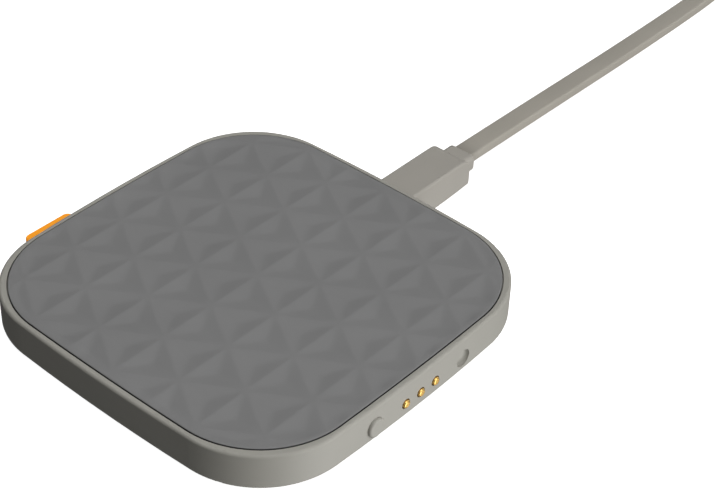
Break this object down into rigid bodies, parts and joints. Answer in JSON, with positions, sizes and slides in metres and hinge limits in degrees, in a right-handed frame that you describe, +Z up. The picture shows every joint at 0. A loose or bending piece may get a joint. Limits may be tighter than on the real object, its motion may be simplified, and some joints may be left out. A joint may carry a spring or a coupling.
{
  "type": "wireless charging pad",
  "caption": "Low square charging pad with rounded corners, a faceted soft mat, sprung docking pins and a detachable flat lead.",
  "frame": {"origin": "middle of the base pad's underside, on the surface that the pad stands on", "axes": "+Z up through the charging face, +Y towards the power socket, +X towards the docking pins"},
  "size_m": [0.1434, 0.3056, 0.0127],
  "materials": {
    "shell": "satin, fine spark texture",
    "cover": "matt",
    "foot_rubber": "matt silicone",
    "mat": "matt silicone with a faceted relief",
    "adhesive": "double-sided film",
    "screw_steel": "plated",
    "copper": "enamelled litz wire",
    "ferrite": "sintered",
    "bead": "epoxy bead",
    "circuit_board": "solder mask",
    "chip_black": "moulded",
    "capacitor": "ceramic",
    "connector_black": "moulded",
    "connector_white": "moulded",
    "gold": "gold plated",
    "ribbon": "polyimide film",
    "nickel": "nickel plated",
    "tag_orange": "smooth silicone",
    "connector_steel": "nickel plated",
    "spring_steel": "gold-coloured spring wire",
    "plug_plastic": "satin moulded",
    "cable_jacket": "satin flat jacket",
    "tie_fabric": "hook and loop strap"
  },
  "bodies": {
    "pad": {"housing": "shell", "base_cover": "cover", "base_pad": "foot_rubber", "top_mat": "mat", "mat_adhesive": "adhesive", "cover_screws": "screw_steel", "charging_coil": "copper", "ferrite_shield": "ferrite", "coil_leads": "copper", "thermistor": "bead", "main_board": "circuit_board", "board_screws": "screw_steel", "controller_chip": "chip_black", "bridge_chips": "chip_black", "resonance_capacitors": "capacitor", "power_inductor": "ferrite", "pin_block": "connector_black", "pin_barrels": "gold", "dock_board": "circuit_board", "dock_ribbon": "ribbon", "docking_magnets": "nickel", "tag": "tag_orange", "socket_shell": "connector_steel", "socket_tongue": "connector_black", "pin_spring_1": "spring_steel", "pin_spring_2": "spring_steel", "pin_spring_3": "spring_steel"},
    "pin_1": {"contact_pin_1": "gold"},
    "pin_2": {"contact_pin_2": "gold"},
    "pin_3": {"contact_pin_3": "gold"},
    "lead": {"plug_body": "plug_plastic", "plug_collar": "plug_plastic", "plug_shell": "connector_steel", "plug_insert": "connector_black", "cable": "cable_jacket", "cable_coil": "cable_jacket", "cable_tail": "cable_jacket", "cable_tie": "tie_fabric", "supply_collar": "plug_plastic", "supply_body": "plug_plastic", "supply_shell": "connector_steel", "supply_insert": "connector_white", "supply_contacts": "gold"}
  },
  "joints": [
    {"name": "pin_1_press", "type": "slide", "parent": "pad", "child": "pin_1", "axis": [-1, 0, 0], "range_m": [0, 0.0005], "stiffness_N_per_m": 400, "springref_m": -0.001, "deforming": ["pin_spring_1"]},
    {"name": "pin_2_press", "type": "slide", "parent": "pad", "child": "pin_2", "axis": [-1, 0, 0], "range_m": [0, 0.0005], "stiffness_N_per_m": 400, "springref_m": -0.001, "deforming": ["pin_spring_2"]},
    {"name": "pin_3_press", "type": "slide", "parent": "pad", "child": "pin_3", "axis": [-1, 0, 0], "range_m": [0, 0.0005], "stiffness_N_per_m": 400, "springref_m": -0.001, "deforming": ["pin_spring_3"]},
    {"name": "lead_unplug", "type": "slide", "parent": "pad", "child": "lead", "axis": [0, 1, 0], "range_m": [0, 0.012]}
  ]
}
